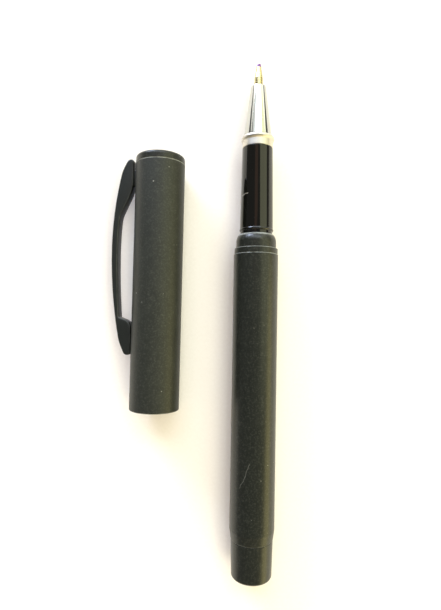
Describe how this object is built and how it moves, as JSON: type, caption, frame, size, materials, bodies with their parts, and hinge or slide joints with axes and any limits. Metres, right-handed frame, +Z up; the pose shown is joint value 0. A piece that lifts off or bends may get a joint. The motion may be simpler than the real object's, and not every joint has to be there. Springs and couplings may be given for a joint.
{
  "type": "capped ball pen",
  "caption": "Matte black screw-together ball pen with a gloss grip and chrome nose, lying beside its clip cap, which is taken off.",
  "frame": {"origin": "on the table, at the middle of the footprint of the pen and its cap", "axes": "+Y along the pen towards its point, +Z up from the table, +X from the cap towards the pen"},
  "size_m": [0.0396, 0.1214, 0.0116],
  "materials": {
    "soft_touch_black": "matte soft-touch lacquer on a brass tube",
    "gloss_black": "glossy moulded grip",
    "polished_chrome": "polished chrome plate",
    "nickel_silver": "turned nickel silver",
    "carbide": "ground carbide ball wet with violet ink",
    "clear_plastic": "translucent extruded tube",
    "white_plastic": "natural moulded plastic",
    "violet_ink": "violet ink",
    "clear_grease": "follower grease",
    "spring_steel": "drawn spring wire",
    "black_plastic": "moulded black plastic",
    "black_lacquer": "satin black lacquer on sprung steel"
  },
  "bodies": {
    "barrel": {"barrel": "soft_touch_black", "tail_plug": "soft_touch_black", "thread_bush": "soft_touch_black", "refill_spring": "spring_steel"},
    "refill": {"refill_tube": "clear_plastic", "refill_end_plug": "white_plastic", "tip_holder": "white_plastic", "point": "nickel_silver", "ink_column": "violet_ink", "ink_follower": "clear_grease"},
    "section": {"section_collar": "soft_touch_black", "grip_sleeve": "gloss_black", "nose_ring": "polished_chrome", "nose_cone": "polished_chrome"},
    "ball": {"tip_ball": "carbide"},
    "cap": {"cap_tube": "soft_touch_black", "cap_crown": "soft_touch_black", "clip_plug": "black_plastic", "cap_liner": "black_plastic"},
    "clip": {"cap_clip": "black_lacquer"}
  },
  "joints": [
    {"name": "refill_advance", "type": "slide", "parent": "barrel", "child": "refill", "axis": [0, 1, 0], "range_m": [0, 0.006], "deforming": ["refill_spring"]},
    {"name": "section_unscrew", "type": "hinge", "parent": "refill", "child": "section", "pos_m": [0.01454, 0.0157, 0.00525], "axis": [0, 1, 0], "range_deg": [0, 2160]},
    {"name": "ball_roll", "type": "hinge", "parent": "refill", "child": "ball", "pos_m": [0.01454, 0.0602, 0.00525], "axis": [1, 0, 0], "continuous": true},
    {"name": "cap_draw", "type": "slide", "parent": "barrel", "child": "cap", "axis": [0.0058, 1, 0], "range_m": [0, 0.04645]},
    {"name": "clip_flex", "type": "hinge", "parent": "cap", "child": "clip", "pos_m": [-0.01432, 0.03203, 0.00509], "axis": [0.1219, -0.0007, -0.9925], "range_deg": [0, 4.5], "stiffness_Nm_per_rad": 1}
  ],
  "couplings": [
    {"joint": "section_unscrew", "follows": "refill_advance", "rad_per_m": 6283.2}
  ]
}
